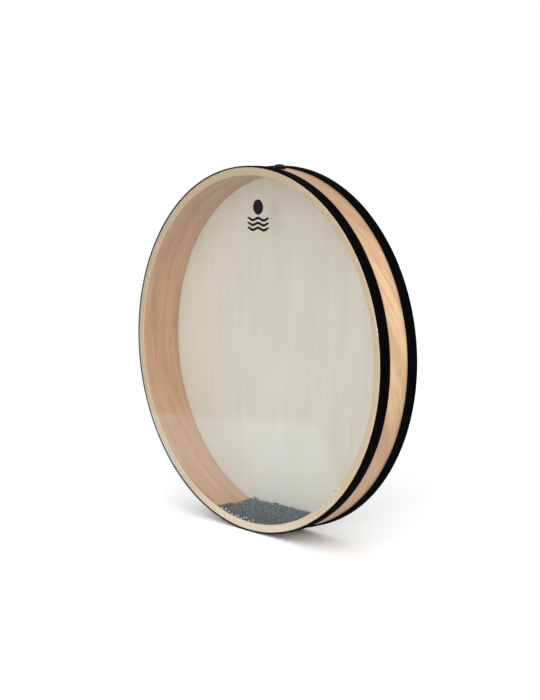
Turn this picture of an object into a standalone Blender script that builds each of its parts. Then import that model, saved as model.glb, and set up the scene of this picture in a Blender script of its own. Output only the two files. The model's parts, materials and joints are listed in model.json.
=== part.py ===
"""Ocean drum: a bent-wood hoop with two glued heads and loose steel beads shut up inside.

The frame's origin is the drum's centre. +Y runs along the drum's axis from the clear
front head to the fibrous rear head, +Z is up, and +X is to the right seen from the front.
Angles round the hoop are measured from the top, positive towards +X.
"""

import math

import bmesh
import bpy
from mathutils import Matrix, Vector

MM = 0.001

# Driving dimensions, in metres
OUTER_RADIUS = 203.0 * MM        # over the edge tapes
DEPTH = 54.0 * MM                # over both heads
HOOP_WALL = 8.3 * MM
FIT_GAP = 0.3 * MM               # between neighbouring pieces
HEAD_THICKNESS = 0.4 * MM
TAPE_THICKNESS = 1.0 * MM        # where it covers a head's collar
FRONT_TAPE_WIDTH = 14.2 * MM
REAR_TAPE_WIDTH = 13.2 * MM
COLLAR_LENGTH = 2.4 * MM         # how far a head is turned down over the hoop, its bend included
BEARING_CHAMFER = 0.7 * MM       # inside edge of the hoop's faces
HOOP_EDGE_ROUND = 0.6 * MM       # outside edge of the hoop's faces
BEAD_DIAMETER = 2.0 * MM
POOL_LEVEL = -183.9 * MM         # height of the beads' surface away from its bank
POOL_RIPPLE = 0.45 * MM
POOL_BANK = 2.0 * MM             # how far the beads are banked up right of the middle
PLUG_ANGLE = math.radians(6.0)   # from the top of the hoop towards +X
PLUG_DEPTH = 0.8 * MM            # Y of the plug's axis, near the middle of the bare wood

# Worked out from them
TAPE_INNER = OUTER_RADIUS - TAPE_THICKNESS
COLLAR_OUTER = TAPE_INNER - FIT_GAP
COLLAR_INNER = COLLAR_OUTER - HEAD_THICKNESS
HOOP_OUTER = COLLAR_INNER - FIT_GAP
TAPE_ON_WOOD = HOOP_OUTER + FIT_GAP
HOOP_INNER = HOOP_OUTER - HOOP_WALL
HALF_DEPTH = DEPTH / 2
HEAD_INSIDE = HALF_DEPTH - HEAD_THICKNESS
HOOP_HALF = HEAD_INSIDE - FIT_GAP
POOL_RADIUS = HOOP_INNER - FIT_GAP
POOL_HALF = HEAD_INSIDE - FIT_GAP

# Filler grommet and plug: radii, and heights above the hoop's outside
HOLE_RADIUS = 5.0 * MM
GROMMET_TUBE_RADIUS = HOLE_RADIUS - FIT_GAP
GROMMET_BORE_RADIUS = 3.6 * MM
GROMMET_FLANGE_RADIUS = 6.8 * MM
GROMMET_FLANGE_HEIGHT = 0.8 * MM
GROMMET_TUBE_DEPTH = 7.7 * MM
PLUG_SHANK_RADIUS = GROMMET_BORE_RADIUS - FIT_GAP
PLUG_SHANK_DEPTH = 7.2 * MM
PLUG_TIP_CHAMFER = 0.8 * MM
PLUG_HEAD_RADIUS = 6.3 * MM
PLUG_HEAD_HEIGHT = 3.1 * MM
PLUG_HEAD_SIDE = 1.2 * MM        # straight side below the domed top
PLUG_CROWN_RADIUS = 2.6 * MM     # flat in the middle of the domed top

RING_SEGMENTS = 96
SMALL_SEGMENTS = 28
POOL_COLUMNS = 27
POOL_ROWS = 9

# Loose beads beside the heap: angle from the bottom in degrees (positive towards +X), and
# place along the drum's axis from -1 at the front head to +1 at the rear head. The last one
# clings where the hoop and the front head meet.
LOOSE_BEADS = [
    (17.1, -0.90), (17.5, -0.48), (17.0, -0.05), (17.8, 0.27), (17.2, 0.63), (17.4, 0.96),
    (18.3, -0.70), (18.6, -0.22), (18.9, 0.08), (18.8, 0.44), (18.4, 0.80), (19.3, -0.93),
    (19.6, 0.62), (19.9, -0.30), (20.6, -0.58), (20.9, 0.20), (45.4, -0.97),
]


def clear_scene():
    for obj in list(bpy.data.objects):
        bpy.data.objects.remove(obj, do_unlink=True)


def make_material(name, colour, roughness, metallic=0.0, alpha=1.0):
    """A Principled material in the piece's own colour."""
    material = bpy.data.materials.new(name)
    material.use_nodes = True
    shader = material.node_tree.nodes["Principled BSDF"]
    shader.inputs["Base Color"].default_value = (*colour, 1.0)
    shader.inputs["Roughness"].default_value = roughness
    shader.inputs["Metallic"].default_value = metallic
    shader.inputs["Alpha"].default_value = alpha
    material.diffuse_color = (*colour, alpha)
    return material


def add_object(name, bm, material, parent=None, matrix=None, crease_deg=35.0):
    """Link the bmesh as a named object, placed by matrix under its parent empty."""
    bmesh.ops.recalc_face_normals(bm, faces=bm.faces)
    mesh = bpy.data.meshes.new(name)
    bm.to_mesh(mesh)
    bm.free()
    mesh.materials.append(material)
    mesh.shade_smooth()
    mesh.set_sharp_from_angle(angle=math.radians(crease_deg))
    obj = bpy.data.objects.new(name, mesh)
    bpy.context.collection.objects.link(obj)
    obj.parent = parent
    if matrix is not None:
        obj.matrix_local = matrix
    return obj


def add_empty(name, matrix=None):
    empty = bpy.data.objects.new(name, None)
    empty.empty_display_size = 0.02
    bpy.context.collection.objects.link(empty)
    if matrix is not None:
        empty.matrix_world = matrix
    return empty


def arc(centre, radius, start_deg, end_deg, steps):
    """Points along an arc in a profile's plane, ends included."""
    points = []
    for i in range(steps + 1):
        angle = math.radians(start_deg + (end_deg - start_deg) * i / steps)
        points.append((centre[0] + radius * math.cos(angle), centre[1] + radius * math.sin(angle)))
    return points


def turned(profile, segments, closed):
    """Turn a profile of (radius, height) points about local Z.

    A closed profile makes a ring. An open one is capped flat at its first and last points.
    """
    bm = bmesh.new()
    loops = []
    for radius, height in profile:
        loop = []
        for i in range(segments):
            angle = 2 * math.pi * i / segments
            loop.append(bm.verts.new((radius * math.cos(angle), radius * math.sin(angle), height)))
        loops.append(loop)
    spans = len(loops) if closed else len(loops) - 1
    for k in range(spans):
        low, high = loops[k], loops[(k + 1) % len(loops)]
        for i in range(segments):
            j = (i + 1) % segments
            bm.faces.new((low[i], low[j], high[j], high[i]))
    if not closed:
        bm.faces.new(loops[0])
        bm.faces.new(loops[-1])
    return bm


def drum_axis_matrix(facing):
    """Local Z along the drum's axis: facing is -1 for the front and +1 for the rear."""
    return Matrix.Rotation(math.radians(-90.0 * facing), 4, "X")


def plug_matrix():
    """Local Z points out of the hoop through the filler hole, from the hoop's outside."""
    outward = Vector((math.sin(PLUG_ANGLE), 0.0, math.cos(PLUG_ANGLE)))
    place = Matrix.Translation(outward * HOOP_OUTER + Vector((0.0, PLUG_DEPTH, 0.0)))
    return place @ Matrix.Rotation(PLUG_ANGLE, 4, "Y")


def hoop_profile():
    """Half of the section, for the +Z face, then its mirror image for the -Z face."""
    round_centre = (HOOP_OUTER - HOOP_EDGE_ROUND, HOOP_HALF - HOOP_EDGE_ROUND)
    upper = arc(round_centre, HOOP_EDGE_ROUND, 0.0, 90.0, 2)
    upper.append((HOOP_INNER + BEARING_CHAMFER, HOOP_HALF))
    upper.append((HOOP_INNER, HOOP_HALF - BEARING_CHAMFER))
    return upper + [(radius, -height) for radius, height in reversed(upper)]


def make_hoop(parent):
    """The laminated hoop, bored through for the filler grommet."""
    wood = make_material("hoop_wood", (0.72, 0.50, 0.31), 0.45)
    bm = turned(hoop_profile(), RING_SEGMENTS, closed=True)
    hoop = add_object("frame_hoop", bm, wood, parent, drum_axis_matrix(1))

    reach = 2 * HOOP_WALL
    cutter_bm = turned([(HOLE_RADIUS, -reach), (HOLE_RADIUS, reach)], SMALL_SEGMENTS, closed=False)
    cutter = add_object("filler_hole_cutter", cutter_bm, wood, None, plug_matrix())
    cutter.hide_render = True
    cutter.display_type = "WIRE"
    bore = hoop.modifiers.new("filler_hole", "BOOLEAN")
    bore.operation = "DIFFERENCE"
    bore.solver = "EXACT"
    bore.object = cutter


def head_profile():
    """A shallow cup: the flat membrane, its turned edge and the collar down the hoop."""
    bend = HEAD_THICKNESS + FIT_GAP
    centre = (COLLAR_OUTER - bend, HALF_DEPTH - bend)
    collar_end = HALF_DEPTH - COLLAR_LENGTH
    profile = arc(centre, bend, 90.0, 0.0, 3)
    profile.append((COLLAR_OUTER, collar_end))
    profile.append((COLLAR_INNER, collar_end))
    profile.extend(arc(centre, bend - HEAD_THICKNESS, 0.0, 90.0, 1))
    return profile


def make_head(name, facing, material, parent):
    bm = turned(head_profile(), RING_SEGMENTS, closed=False)
    add_object(name, bm, material, parent, drum_axis_matrix(facing))


def make_edge_tape(name, facing, width, material, parent):
    """A band round the hoop's edge with eased corners, thinner where it covers the collar."""
    ease = 0.3 * TAPE_THICKNESS
    top, bottom = HALF_DEPTH, HALF_DEPTH - width
    step = HALF_DEPTH - COLLAR_LENGTH - FIT_GAP
    profile = [
        (TAPE_ON_WOOD, bottom),
        (OUTER_RADIUS - ease, bottom),
        (OUTER_RADIUS, bottom + ease),
        (OUTER_RADIUS, top - ease),
        (OUTER_RADIUS - ease, top),
        (TAPE_INNER, top),
        (TAPE_INNER, step),
        (TAPE_ON_WOOD, step),
    ]
    bm = turned(profile, RING_SEGMENTS, closed=True)
    add_object(name, bm, material, parent, drum_axis_matrix(facing))


def make_grommet(material, parent):
    """Flanged tube that lines the filler hole, flush with the hoop's inside or just short of it."""
    flange_base = FIT_GAP
    flange_top = flange_base + GROMMET_FLANGE_HEIGHT
    ease = 0.3 * GROMMET_FLANGE_HEIGHT
    profile = [
        (GROMMET_BORE_RADIUS, -GROMMET_TUBE_DEPTH),
        (GROMMET_TUBE_RADIUS, -GROMMET_TUBE_DEPTH),
        (GROMMET_TUBE_RADIUS, flange_base),
        (GROMMET_FLANGE_RADIUS, flange_base),
        (GROMMET_FLANGE_RADIUS, flange_top - ease),
        (GROMMET_FLANGE_RADIUS - ease, flange_top),
        (GROMMET_BORE_RADIUS, flange_top),
    ]
    bm = turned(profile, SMALL_SEGMENTS, closed=True)
    add_object("filler_grommet", bm, material, parent, plug_matrix())


def make_plug(material, slide):
    """Domed stopper whose shank fills the grommet's bore, on the slide's axis."""
    seat = FIT_GAP + GROMMET_FLANGE_HEIGHT + FIT_GAP
    crown = seat + PLUG_HEAD_HEIGHT
    shoulder = seat + PLUG_HEAD_SIDE
    dome = []
    for i in range(5):
        angle = math.radians(90.0 * i / 4)
        radius = PLUG_CROWN_RADIUS + (PLUG_HEAD_RADIUS - PLUG_CROWN_RADIUS) * math.cos(angle)
        dome.append((radius, shoulder + (crown - shoulder) * math.sin(angle)))
    profile = [
        (PLUG_SHANK_RADIUS - PLUG_TIP_CHAMFER, -PLUG_SHANK_DEPTH),
        (PLUG_SHANK_RADIUS, -PLUG_SHANK_DEPTH + PLUG_TIP_CHAMFER),
        (PLUG_SHANK_RADIUS, seat),
        (PLUG_HEAD_RADIUS, seat),
        *dome,
    ]
    bm = turned(profile, SMALL_SEGMENTS, closed=False)
    add_object("filler_plug", bm, material, slide)


def pool_surface(across, along):
    """Height of the heap's top at -1..1 across the chord and -1..1 from front to rear."""
    ripple = math.cos(2.3 * math.pi * across + 0.7) * math.cos(1.4 * math.pi * along - 0.4)
    bank = math.exp(-((across - 0.33) / 0.5) ** 2)
    return POOL_LEVEL + POOL_RIPPLE * ripple + POOL_BANK * bank


def make_bead_heap(material, swing):
    """The packed mass of the beads: banked on top, and round underneath like the hoop."""
    blunt_end = 0.965
    half_chord = blunt_end * math.sqrt(POOL_RADIUS ** 2 - POOL_LEVEL ** 2)
    bm = bmesh.new()
    top, bottom = [], []
    for i in range(POOL_COLUMNS):
        across = 2 * i / (POOL_COLUMNS - 1) - 1
        x = half_chord * across
        floor_z = -math.sqrt(POOL_RADIUS ** 2 - x ** 2)
        top.append([])
        bottom.append([])
        for j in range(POOL_ROWS):
            along = 2 * j / (POOL_ROWS - 1) - 1
            y = POOL_HALF * along
            top_z = max(pool_surface(across, along), floor_z + BEAD_DIAMETER / 4)
            top[i].append(bm.verts.new((x, y, top_z)))
            bottom[i].append(bm.verts.new((x, y, floor_z)))
    last_row = POOL_ROWS - 1
    for i in range(POOL_COLUMNS - 1):
        for j in range(last_row):
            bm.faces.new((top[i][j], top[i + 1][j], top[i + 1][j + 1], top[i][j + 1]))
            bm.faces.new((bottom[i][j], bottom[i][j + 1], bottom[i + 1][j + 1], bottom[i + 1][j]))
        for j in (0, last_row):
            bm.faces.new((bottom[i][j], bottom[i + 1][j], top[i + 1][j], top[i][j]))
    for i in (0, POOL_COLUMNS - 1):
        for j in range(last_row):
            bm.faces.new((bottom[i][j], top[i][j], top[i][j + 1], bottom[i][j + 1]))
    bmesh.ops.triangulate(bm, faces=bm.faces)
    add_object("bead_heap", bm, material, swing)


def make_loose_beads(material, swing):
    """Single beads that lie on the hoop's inside, beside the heap."""
    bead_radius = BEAD_DIAMETER / 2
    track_radius = POOL_RADIUS - bead_radius
    reach = POOL_HALF - bead_radius
    for number, (angle_deg, along) in enumerate(LOOSE_BEADS, start=1):
        angle = math.radians(angle_deg)
        centre = (track_radius * math.sin(angle), reach * along, -track_radius * math.cos(angle))
        bm = bmesh.new()
        bmesh.ops.create_icosphere(bm, subdivisions=2, radius=bead_radius)
        name = f"bead_{number:02d}"
        add_object(name, bm, material, swing, Matrix.Translation(centre), crease_deg=60.0)


def main():
    clear_scene()
    shell = add_empty("shell")
    swing = add_empty("bead_roll_axis")
    slide = add_empty("plug_pull_axis", plug_matrix())

    clear_film = make_material("clear_film", (0.90, 0.92, 0.90), 0.12, alpha=0.2)
    fibre_film = make_material("fibre_film", (0.62, 0.60, 0.53), 0.60)
    black_tape = make_material("black_tape", (0.012, 0.014, 0.018), 0.85)
    black_rubber = make_material("black_rubber", (0.015, 0.016, 0.018), 0.50)
    bead_steel = make_material("bead_steel", (0.20, 0.23, 0.26), 0.30, metallic=1.0)

    make_hoop(shell)
    make_head("front_head", -1, clear_film, shell)
    make_head("rear_head", 1, fibre_film, shell)
    make_edge_tape("front_edge_tape", -1, FRONT_TAPE_WIDTH, black_tape, shell)
    make_edge_tape("rear_edge_tape", 1, REAR_TAPE_WIDTH, black_tape, shell)
    make_grommet(black_rubber, shell)
    make_plug(black_rubber, slide)
    make_bead_heap(bead_steel, swing)
    make_loose_beads(bead_steel, swing)


main()
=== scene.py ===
"""Looks for the ocean drum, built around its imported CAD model.

Everything is in metres in the row frame: +Y from the clear front head to the rear head, +Z up,
and +X to the right seen from the front. Angles round the hoop start at the top, positive
towards +X. Sizes come from the CAD nodes' boxes, so the looks follow the model.
"""

import json
import math

import bmesh
import bpy
import numpy as np
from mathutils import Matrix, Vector, kdtree


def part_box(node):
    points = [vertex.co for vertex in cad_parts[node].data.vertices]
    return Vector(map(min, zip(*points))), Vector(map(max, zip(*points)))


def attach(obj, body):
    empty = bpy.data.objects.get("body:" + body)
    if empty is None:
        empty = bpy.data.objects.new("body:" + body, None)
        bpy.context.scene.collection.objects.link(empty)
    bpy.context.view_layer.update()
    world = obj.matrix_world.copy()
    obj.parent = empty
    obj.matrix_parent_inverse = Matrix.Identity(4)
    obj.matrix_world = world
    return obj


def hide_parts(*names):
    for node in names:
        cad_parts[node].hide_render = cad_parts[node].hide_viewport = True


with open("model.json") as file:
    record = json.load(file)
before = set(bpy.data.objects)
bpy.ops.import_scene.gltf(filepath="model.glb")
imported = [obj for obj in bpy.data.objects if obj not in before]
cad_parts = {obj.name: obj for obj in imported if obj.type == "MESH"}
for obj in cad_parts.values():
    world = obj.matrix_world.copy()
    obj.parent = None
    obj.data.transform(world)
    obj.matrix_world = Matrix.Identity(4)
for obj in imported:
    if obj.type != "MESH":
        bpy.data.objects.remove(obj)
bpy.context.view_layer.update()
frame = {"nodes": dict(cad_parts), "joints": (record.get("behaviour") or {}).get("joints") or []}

MM = 0.001


# ---------------------------------------------------------------------------
# Sizes, read from the CAD nodes
# ---------------------------------------------------------------------------

def vertex_radii(node):
    """Distance of a node's vertices from the drum's axis."""
    return [math.hypot(v.co.x, v.co.z) for v in frame["nodes"][node].data.vertices]


OUTER_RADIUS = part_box("front_edge_tape")[1].x
FRONT_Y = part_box("front_head")[0].y
REAR_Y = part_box("rear_head")[1].y
COLLAR_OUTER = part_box("front_head")[1].x
COLLAR_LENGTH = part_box("front_head")[1].y - FRONT_Y
FRONT_TAPE_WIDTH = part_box("front_edge_tape")[1].y - FRONT_Y
REAR_TAPE_WIDTH = REAR_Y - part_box("rear_edge_tape")[0].y
TAPE_ON_WOOD = min(vertex_radii("front_edge_tape"))
HOOP_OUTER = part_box("frame_hoop")[1].x
HOOP_INNER = min(vertex_radii("frame_hoop"))
HOOP_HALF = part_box("frame_hoop")[1].y
HEAD_THICKNESS = 0.4 * MM
FIT_GAP = TAPE_ON_WOOD - HOOP_OUTER
TAPE_INNER = COLLAR_OUTER + FIT_GAP
BEAD_RADIUS = (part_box("bead_01")[1].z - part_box("bead_01")[0].z) / 2
POOL_FLOOR = max(vertex_radii("bead_heap"))
POOL_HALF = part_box("bead_heap")[1].y
FLOOR_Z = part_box("front_edge_tape")[0].z


# ---------------------------------------------------------------------------
# Camera, floor and lights
# ---------------------------------------------------------------------------

CAMERA_AZIMUTH = math.radians(48.54)
CAMERA_ELEVATION = math.radians(7.31)
CAMERA_DISTANCE = 8.0 * OUTER_RADIUS
CAMERA_LENS_MM = 75.0
CAMERA_SENSOR_MM = 36.0
AIM_RIGHT = 0.0196 * OUTER_RADIUS
AIM_UP = -0.0042 * OUTER_RADIUS

FLOOR_HALF = 8.0
# The card that the film mirrors: a glowing sheet on the floor in front of the drum, in (x, y)
CARD_LIFT = 0.3 * MM             # above the floor
CARD_NEAR_Y = FRONT_Y - 8.0 * MM
CARD_LEFT, CARD_RIGHT = -1.0, 0.18
CARD_FAR_LEFT_Y = -0.235
CARD_FAR_CORNER, CARD_FAR_FILLET = (-0.44, -0.555), 0.09
CARD_FADE_Y = (-0.165, -0.085)   # its glow fades between these


def direction(azimuth, elevation):
    """Unit vector from the drum's centre; azimuth 0 is in front and turns towards +X."""
    level = math.cos(elevation)
    return Vector((math.sin(azimuth) * level, -math.cos(azimuth) * level, math.sin(elevation)))


def add_camera():
    """The photo's camera: its direction, distance and lens."""
    data = bpy.data.cameras.new("camera")
    data.lens = CAMERA_LENS_MM
    data.sensor_width = CAMERA_SENSOR_MM
    camera = bpy.data.objects.new("camera", data)
    bpy.context.scene.collection.objects.link(camera)
    back = direction(CAMERA_AZIMUTH, CAMERA_ELEVATION)
    right = Vector((math.cos(CAMERA_AZIMUTH), math.sin(CAMERA_AZIMUTH), 0.0))
    aim = right * AIM_RIGHT + back.cross(right) * AIM_UP
    camera.location = back * CAMERA_DISTANCE
    camera.rotation_mode = "QUATERNION"
    camera.rotation_quaternion = (aim - camera.location).to_track_quat("-Z", "Y")
    bpy.context.scene.camera = camera


def aim_at_drum(light, azimuth_deg, elevation_deg, distance):
    """Put a light in that direction from the drum's centre, and turn it to the drum."""
    away = direction(math.radians(azimuth_deg), math.radians(elevation_deg))
    light.location = away * distance
    light.rotation_mode = "QUATERNION"
    light.rotation_quaternion = away.to_track_quat("Z", "Y")
    bpy.context.scene.collection.objects.link(light)


def add_studio():
    """A white surround, a broad light from the front right and a small softbox in front."""
    world = bpy.data.worlds.new("studio")
    world.use_nodes = True
    background = world.node_tree.nodes["Background"]
    background.inputs["Color"].default_value = (1.0, 1.0, 1.0, 1.0)
    background.inputs["Strength"].default_value = 1.02
    bpy.context.scene.world = world
    bpy.context.scene.view_settings.view_transform = "Standard"

    broad = bpy.data.lights.new("broad_light", "SUN")
    broad.energy = 1.5
    broad.angle = math.radians(60.0)
    light = bpy.data.objects.new("broad_light", broad)
    aim_at_drum(light, azimuth_deg=45.0, elevation_deg=38.0, distance=2.0)

    softbox = bpy.data.lights.new("softbox", "AREA")
    softbox.shape = "SQUARE"
    softbox.size = 0.25
    softbox.energy = 11.0
    softbox.color = (1.0, 0.98, 0.95)
    light = bpy.data.objects.new("softbox", softbox)
    aim_at_drum(light, azimuth_deg=33.0, elevation_deg=9.0, distance=1.9)


def add_stage(name, outline, height, material):
    """A flat piece of the stage from an outline of (x, y) points."""
    mesh = bpy.data.meshes.new(name)
    mesh.from_pydata([(x, y, height) for x, y in outline], [], [range(len(outline))])
    mesh.materials.append(material)
    sheet = bpy.data.objects.new(name, mesh)
    bpy.context.scene.collection.objects.link(sheet)
    return sheet


def add_floor():
    """A pale floor, and a glowing card on it that only shows as a faint reflection in the film."""
    half = FLOOR_HALF
    floor = [(-half, -half), (half, -half), (half, half), (-half, half)]
    add_stage("floor", floor, FLOOR_Z, floor_paint())
    corners = [
        (CARD_LEFT, CARD_NEAR_Y, 0.0),
        (CARD_LEFT, CARD_FAR_LEFT_Y, 0.0),
        (*CARD_FAR_CORNER, CARD_FAR_FILLET),
        (CARD_RIGHT, CARD_NEAR_Y, 0.0),
    ]
    # A glowing sheet, though no lamp: hidden from the camera, diffuse light and shadows, it shows
    # only in reflections
    card = add_stage("glowing_reflection_card", rounded(corners, 12), FLOOR_Z + CARD_LIFT, card_glow())
    card.visible_camera = card.visible_diffuse = card.visible_shadow = False


# ---------------------------------------------------------------------------
# Materials
# ---------------------------------------------------------------------------

class Shading:
    """A material's node tree, with short calls that add a node and wire its inputs."""

    def __init__(self, name):
        self.material = bpy.data.materials.new(name)
        self.material.use_nodes = True
        self.tree = self.material.node_tree
        self.surface = self.tree.nodes["Principled BSDF"]
        self.output = self.tree.nodes["Material Output"]
        self.place = self.node("ShaderNodeTexCoord").outputs["Object"]

    def wire(self, socket, value):
        if isinstance(value, bpy.types.NodeSocket):
            self.tree.links.new(value, socket)
        else:
            socket.default_value = value

    def node(self, kind, inputs=None, **settings):
        made = self.tree.nodes.new(kind)
        for key, value in settings.items():
            setattr(made, key, value)
        for key, value in (inputs or {}).items():
            self.wire(made.inputs[key], value)
        return made

    def set(self, **inputs):
        """Principled inputs by name, with _ for a space."""
        for key, value in inputs.items():
            self.wire(self.surface.inputs[key.replace("_", " ")], value)

    def math(self, operation, a, b=0.0):
        return self.node("ShaderNodeMath", {0: a, 1: b}, operation=operation).outputs[0]

    def scaled(self, vector, x, y, z):
        inputs = {0: vector, 1: (x, y, z)}
        return self.node("ShaderNodeVectorMath", inputs, operation="MULTIPLY").outputs[0]

    def noise(self, vector, detail, roughness, distortion=0.0):
        """Noise between 0 and 1 whose features are about 1 across in vector."""
        inputs = {"Vector": vector, "Scale": 1.0, "Detail": detail}
        inputs.update({"Roughness": roughness, "Distortion": distortion})
        return self.node("ShaderNodeTexNoise", inputs).outputs[0]

    def speckle(self, per_metre, detail, roughness):
        """Noise that is alike in all directions, with so many features to the metre."""
        vector = self.scaled(self.place, per_metre, per_metre, per_metre)
        return self.noise(vector, detail, roughness)

    def ramp(self, factor, *stops):
        """Colours blended along factor; each stop is (position, (r, g, b))."""
        made = self.node("ShaderNodeValToRGB", {0: factor})
        elements = made.color_ramp.elements
        while len(elements) < len(stops):
            elements.new(0.5)
        for element, (position, colour) in zip(elements, stops):
            element.position = position
            element.color = (*colour, 1.0)
        return made.outputs[0]

    def span(self, value, low, high, to_low=0.0, to_high=1.0):
        """value from low..high mapped to to_low..to_high, and held outside it."""
        inputs = {0: value, 1: low, 2: high, 3: to_low, 4: to_high}
        return self.node("ShaderNodeMapRange", inputs).outputs[0]

    def mix(self, factor, a, b, blend="MIX"):
        """Two colours mixed; a mix node has its colours at inputs 6 and 7 and at output 2."""
        made = self.node("ShaderNodeMix", data_type="RGBA", blend_type=blend)
        self.wire(made.inputs[0], factor)
        self.wire(made.inputs[6], a)
        self.wire(made.inputs[7], b)
        return made.outputs[2]

    def bump(self, height, distance, strength):
        inputs = {"Height": height, "Distance": distance, "Strength": strength}
        return self.node("ShaderNodeBump", inputs).outputs[0]

    def along(self, axis):
        """Position along the row frame's X, Y or Z, in metres."""
        return self.node("ShaderNodeSeparateXYZ", {0: self.place}).outputs[axis]

    def round_hoop(self):
        """A vector of distance round the hoop, distance along its axis and radius, then each."""
        parts = self.node("ShaderNodeSeparateXYZ", {0: self.place})
        x, y, z = parts.outputs
        angle = self.math("ARCTAN2", x, z)
        across = self.math("MULTIPLY", x, x)
        radius = self.math("SQRT", self.math("ADD", across, self.math("MULTIPLY", z, z)))
        run = self.math("MULTIPLY", angle, HOOP_OUTER)
        vector = self.node("ShaderNodeCombineXYZ", {0: run, 1: y, 2: radius}).outputs[0]
        return vector, run, y, radius


def veneer(name, light, middle, dark, rosy, slant, streak_width, line_depth, top_painted_shade, low_painted_shade):
    """Lacquered veneer with its grain round the hoop, leaning by slant.

    top_painted_shade and low_painted_shade are painted shade that darkens it towards the hoop's
    top and bottom.
    """
    s = Shading(name)
    vector, run, along, radius = s.round_hoop()
    leaning = s.math("ADD", along, s.math("MULTIPLY", run, slant))
    grain = s.node("ShaderNodeCombineXYZ", {0: run, 1: leaning, 2: radius}).outputs[0]
    figure = s.noise(s.scaled(grain, 9.0, 60.0, 0.0), 3.0, 0.55, 0.6)
    streaks = s.noise(s.scaled(grain, 5.0, 1.0 / streak_width, 0.0), 4.0, 0.65)
    fibres = s.noise(s.scaled(grain, 90.0, 2200.0, 0.0), 2.0, 0.5)
    tone = s.math("ADD", s.math("MULTIPLY", figure, 0.35), s.math("MULTIPLY", streaks, 0.35))
    tone = s.math("ADD", tone, s.math("MULTIPLY", fibres, 0.30))
    wood = s.ramp(tone, (0.44, dark), (0.50, middle), (0.56, light))

    # Growth lines are the contours of a slow noise, dark on one side and fading on the other
    growth = s.noise(s.scaled(grain, 3.2, 24.0, 0.0), 1.0, 0.4, 0.3)
    line = s.math("POWER", s.math("FRACT", s.math("MULTIPLY", growth, 7.0)), 4.0)
    wood = s.mix(s.math("MULTIPLY", line, line_depth), wood, (*dark, 1.0), "MULTIPLY")
    blotch = s.noise(s.scaled(vector, 30.0, 42.0, 0.0), 2.0, 0.5)
    wood = s.mix(s.span(blotch, 0.48, 0.66, 0.0, 0.55), wood, (*rosy, 1.0))
    flecks = s.noise(s.scaled(grain, 210.0, 1500.0, 0.0), 1.0, 0.5)
    wood = s.mix(s.span(flecks, 0.60, 0.74, 0.0, 0.25), wood, (*dark, 1.0))
    # Painted shade: darker towards the hoop's top and towards its bottom
    height = s.along("Z")
    wood = s.mix(s.span(height, 0.10, 0.18), wood, (*top_painted_shade, 1.0), "MULTIPLY")
    wood = s.mix(s.span(height, -0.07, 0.00, 1.0, 0.0), wood, (*low_painted_shade, 1.0), "MULTIPLY")
    s.set(Base_Color=wood, Roughness=s.span(fibres, 0.3, 0.7, 0.40, 0.55))
    s.set(Coat_Weight=0.20, Coat_Roughness=0.25, IOR=1.45)
    s.set(Normal=s.bump(s.math("ADD", fibres, s.math("MULTIPLY", streaks, 0.5)), 0.05 * MM, 0.5))
    return s.material


def ply_edge():
    """The hoop's sanded faces: the edges of its veneers, one after the other."""
    s = Shading("hoop_ply_edge")
    vector, _, _, radius = s.round_hoop()
    depth = s.span(radius, HOOP_INNER, HOOP_OUTER)
    waver = s.noise(s.scaled(vector, 14.0, 0.0, 120.0), 2.0, 0.5)
    layer = s.math("ADD", depth, s.math("MULTIPLY", s.math("SUBTRACT", waver, 0.5), 0.05))
    cream, straw_and_painted_light, tan = (0.385, 0.275, 0.147), (0.470, 0.335, 0.168), (0.318, 0.217, 0.110)
    pale, grey_and_painted_shade = (0.530, 0.435, 0.285), (0.340, 0.262, 0.156)
    # Partly the plies' own tones, partly painted light: the inner chamfer's band is painted
    # lighter
    # and yellower as if lit, the greyer middle band is painted shade, and the pale outer band a
    # highlight
    bands = s.ramp(
        layer,
        (0.00, straw_and_painted_light), (0.09, straw_and_painted_light), (0.12, tan), (0.20, tan), (0.24, cream), (0.40, cream),
        (0.42, tan), (0.44, grey_and_painted_shade), (0.64, grey_and_painted_shade), (0.66, cream), (0.88, cream), (0.93, pale),
    )
    strands = s.noise(s.scaled(vector, 70.0, 400.0, 330.0), 3.0, 0.6)
    pores = s.noise(s.scaled(vector, 900.0, 900.0, 900.0), 1.0, 0.5)
    wood = s.mix(s.span(strands, 0.40, 0.62, 0.0, 0.35), bands, (*tan, 1.0))
    wood = s.mix(s.span(pores, 0.62, 0.72, 0.0, 0.20), wood, (*tan, 1.0))
    # Painted light makes it paler towards the lower right; it is paler still along the bottom
    lower_right = {0: s.place, 1: (0.62, 0.0, -0.78)}
    painted_light_lean = s.node("ShaderNodeVectorMath", lower_right, operation="DOT_PRODUCT").outputs["Value"]
    wood = s.mix(1.0, wood, s.span(painted_light_lean, -0.2, 0.2, 0.87, 1.09), "MULTIPLY")
    low = s.span(s.along("Z"), -0.190, -0.165, 0.6, 0.0)
    wood = s.mix(low, wood, (0.60, 0.51, 0.39, 1.0))
    s.set(Base_Color=wood, Roughness=s.span(strands, 0.3, 0.7, 0.42, 0.58))
    s.set(Coat_Weight=0.15, Coat_Roughness=0.30)
    s.set(Normal=s.bump(s.math("ADD", strands, pores), 0.04 * MM, 0.5))
    return s.material


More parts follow.
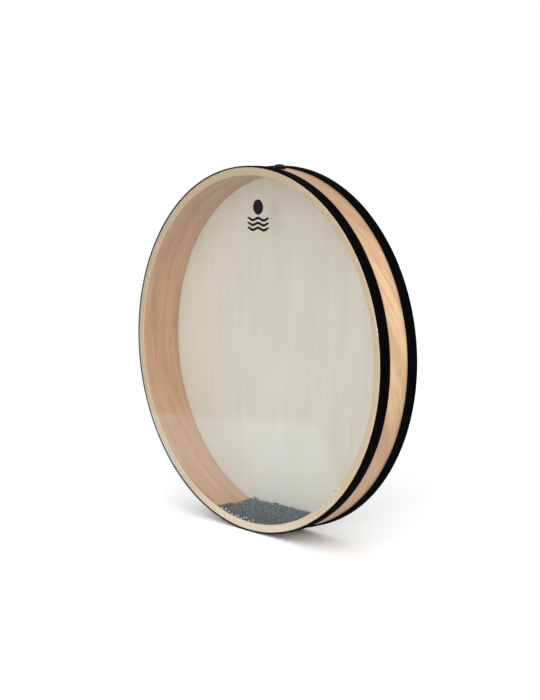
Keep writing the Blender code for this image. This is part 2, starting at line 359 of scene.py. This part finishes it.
def clear_film():
    """Thin clear sheet: what is behind it, a little haze, and a soft reflection."""
    s = Shading("clear_film")
    smear = s.noise(s.scaled(s.place, 9.0, 9.0, 6.0), 4.0, 0.6)
    scuff = s.noise(s.scaled(s.place, 160.0, 160.0, 700.0), 2.0, 0.6)
    through = s.node("ShaderNodeBsdfTransparent", {"Color": (0.985, 0.990, 0.985, 1.0)})
    shine = s.node("ShaderNodeBsdfGlossy", {"Color": (1.0, 1.0, 1.0, 1.0)})
    s.wire(shine.inputs["Roughness"], s.span(smear, 0.3, 0.7, 0.05, 0.12))
    # Schlick's curve, which is the same on both sides of the sheet
    slant = s.node("ShaderNodeLayerWeight", {"Blend": 0.5}).outputs["Facing"]
    mirrored = s.span(s.math("POWER", slant, 5.0), 0.0, 1.0, 0.04, 1.0)
    layers = {0: mirrored, 1: through.outputs[0], 2: shine.outputs[0]}
    sheet = s.node("ShaderNodeMixShader", layers)
    haze = s.node("ShaderNodeBsdfDiffuse", {"Color": (0.80, 0.80, 0.78, 1.0)})
    scuffed = s.span(scuff, 0.6, 0.8, 0.0, 0.004)
    cloud = s.math("ADD", s.span(smear, 0.3, 0.7, 0.002, 0.005), scuffed)
    film = s.node("ShaderNodeMixShader", {0: cloud, 1: sheet.outputs[0], 2: haze.outputs[0]})
    s.tree.links.new(film.outputs[0], s.output.inputs["Surface"])
    s.tree.nodes.remove(s.surface)
    return s.material


def fibre_skin():
    """Cream synthetic skin with cloudy, mostly upright fibres; painted light makes its left and
    edge paler.
    """
    s = Shading("fibre_skin")
    clouds = s.noise(s.scaled(s.place, 14.0, 0.0, 8.0), 4.0, 0.6, 0.4)
    streaks = s.noise(s.scaled(s.place, 110.0, 0.0, 7.0), 3.0, 0.6)
    fibres = s.noise(s.scaled(s.place, 1300.0, 0.0, 160.0), 3.0, 0.6, 0.6)
    tone = s.math("ADD", s.math("MULTIPLY", clouds, 0.45), s.math("MULTIPLY", streaks, 0.40))
    tone = s.math("ADD", tone, s.math("MULTIPLY", fibres, 0.15))
    greyish, cream, pale = (0.405, 0.376, 0.305), (0.428, 0.402, 0.334), (0.450, 0.430, 0.366)
    skin = s.ramp(tone, (0.38, greyish), (0.50, cream), (0.62, pale))
    # Painted light: paler at the left of the skin and towards its edge
    left = s.span(s.along("X"), -0.17, -0.08, 0.07, 0.0)
    edge = s.span(s.round_hoop()[3], 0.11, 0.18, 0.98, 1.05)
    skin = s.mix(1.0, skin, s.math("ADD", left, edge), "MULTIPLY")
    s.set(Base_Color=skin, Roughness=s.span(fibres, 0.3, 0.7, 0.48, 0.66))
    s.set(Sheen_Weight=0.08, Sheen_Roughness=0.5)
    s.set(Normal=s.bump(s.math("ADD", fibres, streaks), 0.03 * MM, 0.2))
    return s.material


TAPE_THREAD = 0.55 * MM          # width of one thread


def woven_tape():
    """Black cotton tape in plain weave, with slightly faded threads."""
    s = Shading("woven_tape")
    vector, run, along, _ = s.round_hoop()
    turn = math.pi / TAPE_THREAD
    warp = s.math("SINE", s.math("MULTIPLY", run, turn))
    weft = s.math("SINE", s.math("MULTIPLY", along, turn))
    weave = s.math("MULTIPLY", warp, weft)
    wear = s.noise(s.scaled(vector, 40.0, 220.0, 40.0), 4.0, 0.6)
    lint = s.noise(s.scaled(vector, 1500.0, 1500.0, 1500.0), 2.0, 0.6)
    tone = s.math("ADD", s.math("MULTIPLY", weave, 0.12), s.math("MULTIPLY", wear, 0.55))
    tone = s.math("ADD", tone, s.math("MULTIPLY", lint, 0.45))
    deep, black = (0.0004, 0.0007, 0.0009), (0.0008, 0.0014, 0.0018)
    faded = (0.0040, 0.0050, 0.0056)
    cloth = s.ramp(tone, (0.30, deep), (0.55, black), (0.80, faded))
    s.set(Base_Color=cloth, Specular_IOR_Level=0.01, Roughness=s.span(lint, 0.3, 0.7, 0.72, 0.95))
    s.set(Normal=s.bump(s.math("ADD", weave, lint), 0.12 * MM, 0.8))
    return s.material


def moulded_rubber():
    """Black moulded rubber with a fine dull grain and a few paler scuffs."""
    s = Shading("moulded_rubber")
    grain = s.speckle(2200.0, 2.0, 0.6)
    scuffs = s.speckle(350.0, 4.0, 0.7)
    black = s.ramp(scuffs, (0.45, (0.0025, 0.0026, 0.0028)), (0.75, (0.008, 0.0083, 0.0086)))
    s.set(Base_Color=black, Roughness=s.span(grain, 0.3, 0.7, 0.36, 0.52), Specular_IOR_Level=0.12)
    s.set(Normal=s.bump(grain, 0.04 * MM, 0.5))
    return s.material


def bead_steel(name, dark, middle, light, roughness):
    """Steel shot, each bead a little lighter or darker than the next."""
    s = Shading(name)
    batch = s.speckle(700.0, 1.0, 0.5)
    pits = s.speckle(3000.0, 2.0, 0.6)
    steel = s.ramp(batch, (0.50, dark), (0.55, middle), (0.60, light))
    s.set(Base_Color=steel, Metallic=1.0, Specular_Tint=(0.10, 0.12, 0.14, 1.0))
    s.set(Roughness=s.span(pits, 0.3, 0.7, roughness, roughness + 0.18))
    return s.material


def print_ink():
    """Satin black ink with slight breaks in its cover."""
    s = Shading("print_ink")
    cover = s.speckle(1200.0, 3.0, 0.6)
    black = s.ramp(cover, (0.40, (0.003, 0.003, 0.0032)), (0.80, (0.010, 0.010, 0.0105)))
    s.set(Base_Color=black, Roughness=s.span(cover, 0.3, 0.7, 0.45, 0.60), Specular_IOR_Level=0.06)
    return s.material


def floor_paint():
    """Plain matt paint, very slightly uneven."""
    s = Shading("floor_paint")
    mottle = s.speckle(3.0, 2.0, 0.5)
    paint = s.ramp(mottle, (0.3, (0.85, 0.85, 0.85)), (0.7, (0.87, 0.87, 0.87)))
    s.set(Base_Color=paint, Roughness=0.9)
    return s.material


def card_glow():
    """A cool glow that fades to the brightness of the floor beside the drum."""
    s = Shading("card_glow")
    mottle = s.speckle(3.0, 2.0, 0.5)
    glow = s.ramp(mottle, (0.3, (0.74, 0.90, 0.95)), (0.7, (0.76, 0.92, 0.98)))
    glow = s.mix(s.span(s.along("Y"), *CARD_FADE_Y), glow, (0.50, 0.50, 0.50, 1.0))
    s.set(Base_Color=(0.0, 0.0, 0.0, 1.0), Emission_Color=glow, Emission_Strength=1.9)
    return s.material


# ---------------------------------------------------------------------------
# Mesh helpers
# ---------------------------------------------------------------------------

def rounded(corners, steps=4):
    """Closed outline through (across, up, fillet) corners, each rounded by its fillet."""
    outline = []
    count = len(corners)
    for i, (across, up, fillet) in enumerate(corners):
        here = Vector((across, up))
        if fillet <= 0.0:
            outline.append(tuple(here))
            continue
        before = (Vector(corners[i - 1][:2]) - here).normalized()
        after = (Vector(corners[(i + 1) % count][:2]) - here).normalized()
        half = before.angle(after) / 2
        centre = here + (before + after).normalized() * (fillet / math.sin(half))
        start = here + before * (fillet / math.tan(half)) - centre
        end = here + after * (fillet / math.tan(half)) - centre
        first = math.atan2(start.y, start.x)
        turn = math.remainder(math.atan2(end.y, end.x) - first, 2 * math.pi)
        for k in range(steps + 1):
            angle = first + turn * k / steps
            outline.append(tuple(centre + Vector((math.cos(angle), math.sin(angle))) * fillet))
    return outline


def new_piece(name, bm, materials, body, crease_deg=32.0):
    """Link the mesh as a piece that rides on a CAD body."""
    bmesh.ops.recalc_face_normals(bm, faces=bm.faces)
    mesh = bpy.data.meshes.new(name)
    bm.to_mesh(mesh)
    bm.free()
    for material in materials:
        mesh.materials.append(material)
    mesh.shade_smooth()
    mesh.set_sharp_from_angle(angle=math.radians(crease_deg))
    piece = bpy.data.objects.new(name, mesh)
    bpy.context.scene.collection.objects.link(piece)
    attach(piece, body)
    return piece


def hoop_point(angle, radius, along):
    """A point round the drum's axis, at its angle from the top."""
    return (radius * math.sin(angle), along, radius * math.cos(angle))


def turned(outline, segments, closed=True, place=hoop_point):
    """Turn an outline of (radius, height) points about an axis; an open one is capped."""
    bm = bmesh.new()
    loops = []
    for radius, height in outline:
        angles = (2 * math.pi * i / segments for i in range(segments))
        loops.append([bm.verts.new(place(angle, radius, height)) for angle in angles])
    spans = len(loops) if closed else len(loops) - 1
    for k in range(spans):
        low, high = loops[k], loops[(k + 1) % len(loops)]
        for i in range(segments):
            j = (i + 1) % segments
            bm.faces.new((low[i], low[j], high[j], high[i]))
    if not closed:
        bm.faces.new(loops[0])
        bm.faces.new(loops[-1])
    return bm


# ---------------------------------------------------------------------------
# Pieces
# ---------------------------------------------------------------------------

HOOP_SEGMENTS = 288
BEARING_CHAMFER = 0.7 * MM
OUTER_EASE, FACE_EASE, CHAMFER_EASE = 0.6 * MM, 0.25 * MM, 0.4 * MM
FACE_SLOPE = 0.35                # faces turned this far towards an end show the plies' edges

# The plug's slide gives the direction of the filler hole, and its node the place along Y
PLUG_SLIDE = next(j for j in frame["joints"] if j["name"] == "plug_pull")
PLUG_AXIS = Vector(PLUG_SLIDE["axis"]).normalized()
PLUG_Y = sum(c.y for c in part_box("filler_plug")) / 2
PLUG_FOOT = PLUG_AXIS * HOOP_OUTER + Vector((0.0, PLUG_Y, 0.0))
PLUG_ACROSS = Vector((0.0, 1.0, 0.0))
PLUG_ROUND = PLUG_AXIS.cross(PLUG_ACROSS)
HOLE_RADIUS = 5.0 * MM
HOLE_SEGMENTS = 48
HOLE_CUT = 12.0 * MM             # the cutter's reach each way from the hoop's outside


def plug_point(angle, radius, height):
    """A point round the filler hole's axis, with height from the hoop's outside."""
    across = PLUG_ACROSS * math.cos(angle) + PLUG_ROUND * math.sin(angle)
    return PLUG_FOOT + PLUG_AXIS * height + across * radius


def make_hoop():
    """The bent hoop, with eased edges, a chamfer inside each face and the filler hole."""
    half = [
        (HOOP_OUTER, HOOP_HALF, OUTER_EASE),
        (HOOP_INNER + BEARING_CHAMFER, HOOP_HALF, FACE_EASE),
        (HOOP_INNER, HOOP_HALF - BEARING_CHAMFER, CHAMFER_EASE),
    ]
    mirrored = [(radius, -height, fillet) for radius, height, fillet in reversed(half)]
    outside = veneer(
        "hoop_outside",
        light=(0.582, 0.405, 0.235), middle=(0.536, 0.346, 0.186), dark=(0.468, 0.285, 0.141),
        rosy=(0.530, 0.316, 0.175), slant=-0.40, streak_width=6.0 * MM, line_depth=0.22,
        top_painted_shade=(0.67, 0.61, 0.57), low_painted_shade=(0.74, 0.68, 0.67),
    )
    inside = veneer(
        "hoop_inside",
        light=(0.480, 0.257, 0.110), middle=(0.413, 0.209, 0.080), dark=(0.342, 0.163, 0.057),
        rosy=(0.424, 0.207, 0.092), slant=0.02, streak_width=3.0 * MM, line_depth=0.12,
        top_painted_shade=(0.90, 0.95, 0.98), low_painted_shade=(1.0, 1.0, 1.0),
    )
    plies = ply_edge()
    bm = turned(rounded(half + mirrored), HOOP_SEGMENTS)
    hoop = new_piece("hoop", bm, [outside, plies, inside], "shell")
    middle = (HOOP_INNER + HOOP_OUTER) / 2
    for polygon in hoop.data.polygons:
        if abs(polygon.normal.y) > FACE_SLOPE:
            polygon.material_index = 1
        elif math.hypot(polygon.center.x, polygon.center.z) < middle:
            polygon.material_index = 2

    wall = [(HOLE_RADIUS, -HOLE_CUT), (HOLE_RADIUS, HOLE_CUT)]
    cutter_bm = turned(wall, HOLE_SEGMENTS, closed=False, place=plug_point)
    cutter = new_piece("hole_cutter", cutter_bm, [plies], "shell")
    bore = hoop.modifiers.new("filler_hole", "BOOLEAN")
    bore.operation = "DIFFERENCE"
    bore.object = cutter
    bpy.context.view_layer.objects.active = hoop
    bpy.ops.object.modifier_apply(modifier=bore.name)
    bpy.data.objects.remove(cutter)
    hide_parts("frame_hoop")


HEAD_BEND, HEAD_INNER_BEND = 0.4 * MM, 0.15 * MM   # fillets where the collar turns down
HEAD_RINGS = [0.15, 0.4, 0.7, 0.93, 0.975]   # radii of the membrane's rings, in collar radii


def head_outline(facing):
    """Half section of a head from its middle outwards and back: membrane, bend and collar."""
    face = REAR_Y if facing > 0 else FRONT_Y
    inner_face = face - facing * HEAD_THICKNESS
    collar_end = face - facing * COLLAR_LENGTH
    collar_inner = COLLAR_OUTER - HEAD_THICKNESS
    outer = [(share * COLLAR_OUTER, face, 0.0) for share in HEAD_RINGS]
    inner = [(share * COLLAR_OUTER, inner_face, 0.0) for share in reversed(HEAD_RINGS)]
    bend = [
        (COLLAR_OUTER, face, HEAD_BEND),
        (COLLAR_OUTER, collar_end, 0.0),
        (collar_inner, collar_end, 0.0),
        (collar_inner, inner_face, HEAD_INNER_BEND),
    ]
    return rounded(outer + bend + inner, 5)


def make_heads():
    """The clear front film and the fibrous rear skin, turned from the same section."""
    film = turned(head_outline(-1), HOOP_SEGMENTS, closed=False)
    front = new_piece("front_film", film, [clear_film()], "shell")
    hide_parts("front_head")
    skin = turned(head_outline(1), HOOP_SEGMENTS, closed=False)
    rear = new_piece("rear_skin", skin, [fibre_skin()], "shell")
    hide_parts("rear_head")


TAPE_SEGMENTS = 720
TAPE_BUTT_GAP = 0.5 * MM
TAPE_STEPS = 10                  # across its width
TAPE_WAVER = 0.10 * MM           # of its free edge
# The woven edges stand a little above the tape's middle, and its corners are rounded off
SELVEDGE_RISE, SELVEDGE_WIDTH, SELVEDGE_SLOPE = 0.16 * MM, 0.6 * MM, 1.0 * MM
TAPE_CORNER_DROP, TAPE_CORNER_WIDTH = 0.35 * MM, 0.4 * MM
TAPE_CORNER_INSET = 0.12 * MM
TAPE_SIDE_TOP = OUTER_RADIUS - 0.5 * MM
FRONT_SEAM_DEG, REAR_SEAM_DEG = 236.0, 243.0   # at the lower left, out of the photo's view


def tape_section(facing, width):
    """Closed outline of a tape: stepped over the head's collar, with thicker selvedges."""
    face = REAR_Y if facing > 0 else FRONT_Y
    free = face - facing * width
    step = face - facing * (COLLAR_LENGTH + FIT_GAP)
    outline = [(TAPE_ON_WOOD, free), (TAPE_SIDE_TOP, free)]
    for k in range(TAPE_STEPS + 1):
        share = k / TAPE_STEPS
        edge = min(share, 1.0 - share) * width
        sink = SELVEDGE_RISE * min(1.0, max(0.0, (edge - SELVEDGE_WIDTH) / SELVEDGE_SLOPE))
        corner = TAPE_CORNER_DROP * max(0.0, 1.0 - edge / TAPE_CORNER_WIDTH)
        inwards = 1.0 if k == 0 else -1.0 if k == TAPE_STEPS else 0.0
        inset = facing * TAPE_CORNER_INSET * inwards
        outline.append((OUTER_RADIUS - sink - corner, free + (face - free) * share + inset))
    outline.extend([(TAPE_SIDE_TOP, face), (TAPE_INNER, face)])
    outline.extend([(TAPE_INNER, step), (TAPE_ON_WOOD, step)])
    return outline, face, free


def make_tape(name, node, facing, width, seam_deg, material):
    """One length of tape laid round the hoop, its two ends butted at the seam."""
    outline, face, free = tape_section(facing, width)
    seam = math.radians(seam_deg)
    gap = TAPE_BUTT_GAP / OUTER_RADIUS
    bm = bmesh.new()
    loops = []
    for i in range(TAPE_SEGMENTS + 1):
        angle = seam + gap / 2 + (2 * math.pi - gap) * i / TAPE_SEGMENTS
        waver = TAPE_WAVER * (math.sin(7 * angle + facing) + 0.6 * math.sin(23 * angle))
        loop = []
        for radius, along in outline:
            share = (along - face) / (free - face)
            loop.append(bm.verts.new(hoop_point(angle, radius, along + waver * share)))
        loops.append(loop)
    count = len(outline)
    for low, high in zip(loops, loops[1:]):
        for k in range(count):
            m = (k + 1) % count
            bm.faces.new((low[k], low[m], high[m], high[k]))
    bm.faces.new(loops[0])
    bm.faces.new(loops[-1])
    tape = new_piece(name, bm, [material], "shell", crease_deg=50.0)
    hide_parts(node)


def make_tapes():
    """The two edge tapes, of the same cloth."""
    cloth = woven_tape()
    make_tape("front_tape", "front_edge_tape", -1, FRONT_TAPE_WIDTH, FRONT_SEAM_DEG, cloth)
    make_tape("rear_tape", "rear_edge_tape", 1, REAR_TAPE_WIDTH, REAR_SEAM_DEG, cloth)


PLUG_SEGMENTS = 72
GROMMET_BORE_RADIUS = 3.6 * MM
FLANGE_RADIUS, FLANGE_THICKNESS = 6.8 * MM, 0.8 * MM
SHANK_TIP_RADIUS = GROMMET_BORE_RADIUS - FIT_GAP - 0.5 * MM
SHANK_TAPER = 1.2 * MM
PLUG_RIM_RADIUS, PLUG_RIM_HEIGHT = 6.3 * MM, 1.3 * MM
PLUG_SHOULDER_RADIUS, PLUG_SHOULDER_DROP = 4.6 * MM, 0.5 * MM
PLUG_CROWN_RADIUS = 2.6 * MM
SHANK_CENTRE_RADIUS, CROWN_CENTRE_RADIUS = 0.5 * MM, 1.0 * MM   # where the flat caps begin


def heights_over_hoop(node):
    """Where a node starts and ends on the plug's axis, measured from the hoop's outside."""
    heights = [(v.co - PLUG_FOOT).dot(PLUG_AXIS) for v in frame["nodes"][node].data.vertices]
    return min(heights), max(heights)


def make_plug():
    """Flanged grommet in the hole, and the domed plug whose shank fills it."""
    rubber = moulded_rubber()
    shank_end, plug_top = heights_over_hoop("filler_plug")
    tube_end, _ = heights_over_hoop("filler_grommet")
    flange_low, flange_top = FIT_GAP, FIT_GAP + FLANGE_THICKNESS
    grommet_outline = rounded([
        (GROMMET_BORE_RADIUS, tube_end, 0.25 * MM),
        (HOLE_RADIUS - FIT_GAP, tube_end, 0.25 * MM),
        (HOLE_RADIUS - FIT_GAP, flange_low, 0.0),
        (FLANGE_RADIUS, flange_low, 0.15 * MM),
        (FLANGE_RADIUS, flange_top, 0.35 * MM),
        (GROMMET_BORE_RADIUS, flange_top, 0.2 * MM),
    ])
    bm = turned(grommet_outline, PLUG_SEGMENTS, place=plug_point)
    grommet = new_piece("grommet", bm, [rubber], "shell")
    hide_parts("filler_grommet")

    seat = flange_top + FIT_GAP
    shank = GROMMET_BORE_RADIUS - FIT_GAP
    plug_outline = rounded([
        (SHANK_CENTRE_RADIUS, shank_end, 0.0),
        (SHANK_TIP_RADIUS, shank_end, 0.3 * MM),
        (shank, shank_end + SHANK_TAPER, 0.3 * MM),
        (shank, seat, 0.0),
        (PLUG_RIM_RADIUS, seat, 0.25 * MM),
        (PLUG_RIM_RADIUS, seat + PLUG_RIM_HEIGHT, 0.5 * MM),
        (PLUG_SHOULDER_RADIUS, plug_top - PLUG_SHOULDER_DROP, 1.0 * MM),
        (PLUG_CROWN_RADIUS, plug_top, 1.6 * MM),
        (CROWN_CENTRE_RADIUS, plug_top, 0.0),
    ], 5)
    bm = turned(plug_outline, PLUG_SEGMENTS, closed=False, place=plug_point)
    plug = new_piece("plug", bm, [rubber], "stopper")
    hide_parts("filler_plug")


PRINT_X = 17.0 * MM
PRINT_THICKNESS = 0.03 * MM
PRINT_GAP = 0.01 * MM            # between the ink and the film
SUN_RADIUS = 8.2 * MM
SUN_Z = 158.6 * MM
WAVE_Z = 145.6 * MM              # the top one of three
WAVE_PITCH = 5.3 * MM
WAVE_HALF_WIDTH = 17.5 * MM
WAVE_LENGTH = 17.5 * MM
WAVE_HEIGHT = 1.2 * MM
WAVE_STROKE = 3.0 * MM
WAVE_POINTS, SUN_POINTS = 65, 49
SUN_TRIM = 0.03                  # keeps the ends of the sun's strip from closing to a point


def add_inked(bm, sides):
    """A thin closed strip between two rows of (x, z) points on the outside of the film."""
    back = FRONT_Y - PRINT_GAP
    front = back - PRINT_THICKNESS
    low, high = sides
    rows = []
    for (x0, z0), (x1, z1) in zip(low, high):
        corners = ((x0, back, z0), (x1, back, z1), (x1, front, z1), (x0, front, z0))
        rows.append([bm.verts.new(corner) for corner in corners])
    for row, following in zip(rows, rows[1:]):
        for k in range(4):
            m = (k + 1) % 4
            bm.faces.new((row[k], row[m], following[m], following[k]))
    bm.faces.new(rows[0])
    bm.faces.new(rows[-1])


def make_print():
    """A plain sun over three waves, printed on the outside of the clear film."""
    bm = bmesh.new()
    shares = np.linspace(-1.0, 1.0, WAVE_POINTS)
    swell = WAVE_HEIGHT * np.cos(2 * np.pi * shares * WAVE_HALF_WIDTH / WAVE_LENGTH)
    for line in range(3):
        x = PRINT_X + shares * WAVE_HALF_WIDTH
        z = WAVE_Z - line * WAVE_PITCH + swell
        # Full width along the stroke, narrowing at its two ends
        half = WAVE_STROKE / 2 * np.sqrt(np.maximum(0.03, 1.0 - np.abs(shares) ** 8))
        add_inked(bm, (list(zip(x, z - half)), list(zip(x, z + half))))
    turn = np.linspace(SUN_TRIM, np.pi - SUN_TRIM, SUN_POINTS)
    x = PRINT_X - SUN_RADIUS * np.cos(turn)
    half = SUN_RADIUS * np.sin(turn)
    add_inked(bm, (list(zip(x, SUN_Z - half)), list(zip(x, SUN_Z + half))))
    new_piece("sun_and_waves_print", bm, [print_ink()], "shell")


# ---------------------------------------------------------------------------
# Beads
# ---------------------------------------------------------------------------

BEAD_DIAMETER = 2 * BEAD_RADIUS
POUR_SEED, PILE_SEED, GLINT_SEED = 11, 23, 5
SAME_COLUMN = 2e-6               # vertices of the heap this near along X are in one column
POOL_PLACES = 201                # across the pool, where its depth is taken
BEAD_PACKING = 0.62              # share of the pool's space that is steel
SETTLE_ROUNDS = 24
STEPS_PER_ROUND = 8
NEIGHBOUR_REACH = 1.5 * BEAD_DIAMETER   # pairs that may come to touch within a round
NO_DISTANCE = 1e-7               # keeps two beads in one place from dividing by zero
SETTLE_PULL = 0.03 * MM
PUSH_APART = 0.6                 # share of an overlap that is undone in one step
CLUMPS = 24                      # little piles of beads that lie on the settled ones
CLUMP_BEADS = 6
CLUMP_SPREAD = 2.2 * MM
CLUMP_RANGE = 0.9                # share of the pool's half width that they keep to
TRIES = 3                        # a piled bead takes the lowest of so many places
POOL_PIECES = 3
# The row of glints low in the pool, painted highlights given to near-white beads: where it runs
# along X, the gaps between its beads, and how far from the pool's front and from the hoop their
# centres may be
GLINTS_LEFT, GLINTS_RIGHT = -48.0 * MM, 6.0 * MM
GLINT_GAPS = (3.2 * MM, 6.4 * MM)
GLINT_FROM_FILM = 1.6 * BEAD_RADIUS
GLINT_FROM_HOOP = 1.8 * BEAD_DIAMETER


def near_pairs(centres, reach):
    """Index pairs of beads whose centres are within reach."""
    tree = kdtree.KDTree(len(centres))
    for index, centre in enumerate(centres):
        tree.insert(centre, index)
    tree.balance()
    pairs = []
    for index, centre in enumerate(centres):
        found = tree.find_range(centre, reach)
        pairs.extend((index, other) for _, other, _ in found if other > index)
    return np.array(pairs, int).T


def hold_in_pool(centres):
    """Keep the beads inside the hoop and between the heads."""
    reach = POOL_FLOOR - BEAD_RADIUS
    radius = np.hypot(centres[:, 0], centres[:, 2])
    shrink = np.minimum(1.0, reach / radius)
    centres[:, 0] *= shrink
    centres[:, 2] *= shrink
    half = POOL_HALF - BEAD_RADIUS
    centres[:, 1] = np.clip(centres[:, 1], -half, half)


def pool_profile():
    """Places across the pool, the height of the hoop below each and the depth of beads on it."""
    heap = np.array([v.co for v in frame["nodes"]["bead_heap"].data.vertices])
    columns = np.unique(heap[:, 0].round(6))
    tops = [heap[np.abs(heap[:, 0] - x) < SAME_COLUMN, 2].max() for x in columns]
    x = np.linspace(columns[0], columns[-1], POOL_PLACES)
    floor = -np.sqrt(POOL_FLOOR ** 2 - x ** 2)
    return x, floor, np.interp(x, columns, tops) - floor


def settled_beads():
    """Centres of the pool's beads, poured in at random and left to settle."""
    random = np.random.default_rng(POUR_SEED)
    places, floor, depth = pool_profile()
    space = depth.mean() * (places[-1] - places[0]) * 2 * POOL_HALF
    count = int(BEAD_PACKING * space / (4 / 3 * math.pi * BEAD_RADIUS ** 3))
    x = np.interp(random.uniform(0.0, 1.0, count), np.cumsum(depth) / depth.sum(), places)
    y = random.uniform(-POOL_HALF, POOL_HALF, count)
    lift = random.uniform(0.0, 1.0, count)
    z = np.interp(x, places, floor) + lift * np.interp(x, places, depth)
    centres = np.column_stack((x, y, z))
    hold_in_pool(centres)
    for settle_round in range(SETTLE_ROUNDS):
        first, second = near_pairs(centres, NEIGHBOUR_REACH)
        fade = 1.0 - settle_round / SETTLE_ROUNDS
        for _ in range(STEPS_PER_ROUND):
            centres[:, 2] -= SETTLE_PULL * fade
            apart = centres[first] - centres[second]
            distance = np.maximum(np.linalg.norm(apart, axis=1), NO_DISTANCE)
            overlap = np.maximum(0.0, BEAD_DIAMETER - distance)
            push = apart * (0.5 * overlap / distance)[:, None]
            for axis in range(3):
                centres[:, axis] += PUSH_APART * np.bincount(first, push[:, axis], count)
                centres[:, axis] -= PUSH_APART * np.bincount(second, push[:, axis], count)
            hold_in_pool(centres)
    return centres


def spaced_out(candidates, centres):
    """Which of the candidate beads to pick, so that each is some way along X from the last."""
    random = np.random.default_rng(GLINT_SEED)
    picked = np.zeros(len(centres), bool)
    reach = -math.inf
    for index in np.flatnonzero(candidates):
        if centres[index, 0] > reach:
            picked[index] = True
            reach = centres[index, 0] + random.uniform(*GLINT_GAPS)
    return picked


def landing(centres, x, y):
    """Centre of a bead that is let down at (x, y) onto the others or the hoop."""
    aside = np.hypot(centres[:, 0] - x, centres[:, 1] - y)
    near = aside < BEAD_DIAMETER
    rests = centres[near, 2] + np.sqrt(BEAD_DIAMETER ** 2 - aside[near] ** 2)
    return x, y, max(-math.sqrt((POOL_FLOOR - BEAD_RADIUS) ** 2 - x ** 2), *rests)


def piled_on_top(centres):
    """The centres with a few small piles more, each bead lying where it lands."""
    random = np.random.default_rng(PILE_SEED)
    edge = CLUMP_RANGE * centres[:, 0].max()
    half = POOL_HALF - BEAD_RADIUS
    for _ in range(CLUMPS):
        middle = random.uniform((-edge, 0.0), (edge, half))
        for _ in range(CLUMP_BEADS):
            places = random.normal(middle, CLUMP_SPREAD, (TRIES, 2))
            places = np.clip(places, (-edge, -half), (edge, half))
            landed = min((landing(centres, x, y) for x, y in places), key=lambda centre: centre[2])
            centres = np.vstack((centres, landed))
    return centres


def bead_mesh(name, centres):
    """One mesh of separate round beads."""
    bm = bmesh.new()
    bmesh.ops.create_icosphere(bm, subdivisions=2, radius=BEAD_RADIUS)
    ball = np.array([v.co for v in bm.verts])
    facets = np.array([[v.index for v in face.verts] for face in bm.faces])
    bm.free()
    count = len(centres)
    points = (np.asarray(centres)[:, None, :] + ball[None, :, :]).reshape(-1, 3)
    offsets = np.arange(count)[:, None, None] * len(ball)
    faces = (facets[None, :, :] + offsets).reshape(-1, 3)
    mesh = bpy.data.meshes.new(name)
    mesh.from_pydata(points.tolist(), [], faces.tolist())
    mesh.shade_smooth()
    return mesh


def add_beads(name, centres, materials, painted_highlights=None):
    """A piece of loose round beads; bright marks those that take the second material, a painted
    highlight.
    """
    mesh = bead_mesh(name, centres)
    for material in materials:
        mesh.materials.append(material)
    if painted_highlights is not None:
        facets = len(mesh.polygons) // len(centres)
        mesh.polygons.foreach_set("material_index", np.repeat(painted_highlights, facets).astype(np.int32))
    piece = bpy.data.objects.new(name, mesh)
    bpy.context.scene.collection.objects.link(piece)
    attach(piece, "bead_fill")
    return piece


def make_beads():
    """The pool, in stretches from left to right, and the loose beads beside it."""
    steel = bead_steel(
        "bead_steel", dark=(0.001, 0.010, 0.016), middle=(0.006, 0.022, 0.033),
        light=(0.130, 0.198, 0.245), roughness=0.24,
    )
    # A few beads low in the pool take near-white steel: painted highlights that stand in for
    # glints
    painted_highlight_material = bead_steel(
        "painted_highlight_steel", dark=(0.62, 0.63, 0.64), middle=(0.70, 0.71, 0.72),
        light=(0.76, 0.76, 0.76), roughness=0.30,
    )
    centres = piled_on_top(settled_beads())
    centres = centres[np.argsort(centres[:, 0])]
    by_film = centres[:, 1] < GLINT_FROM_FILM - POOL_HALF
    by_hoop = np.hypot(centres[:, 0], centres[:, 2]) > POOL_FLOOR - GLINT_FROM_HOOP
    left = (centres[:, 0] > GLINTS_LEFT) & (centres[:, 0] < GLINTS_RIGHT)
    painted_highlights = spaced_out(by_film & by_hoop & left, centres)
    stretches = zip(np.array_split(centres, POOL_PIECES), np.array_split(painted_highlights, POOL_PIECES))
    for number, (members, these_painted_highlights) in enumerate(stretches, start=1):
        piece = add_beads(f"pool_beads_{number}", members, [steel, painted_highlight_material], these_painted_highlights)
        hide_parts("bead_heap")

    names = sorted(n for n in frame["nodes"] if n.startswith("bead_") and n != "bead_heap")
    middles = np.array([(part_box(n)[0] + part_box(n)[1]) / 2 for n in names])
    loose = add_beads("loose_beads", middles, [steel])
    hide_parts(*names)


add_camera()
add_studio()
add_floor()
make_hoop()
make_heads()
make_tapes()
make_plug()
make_print()
make_beads()
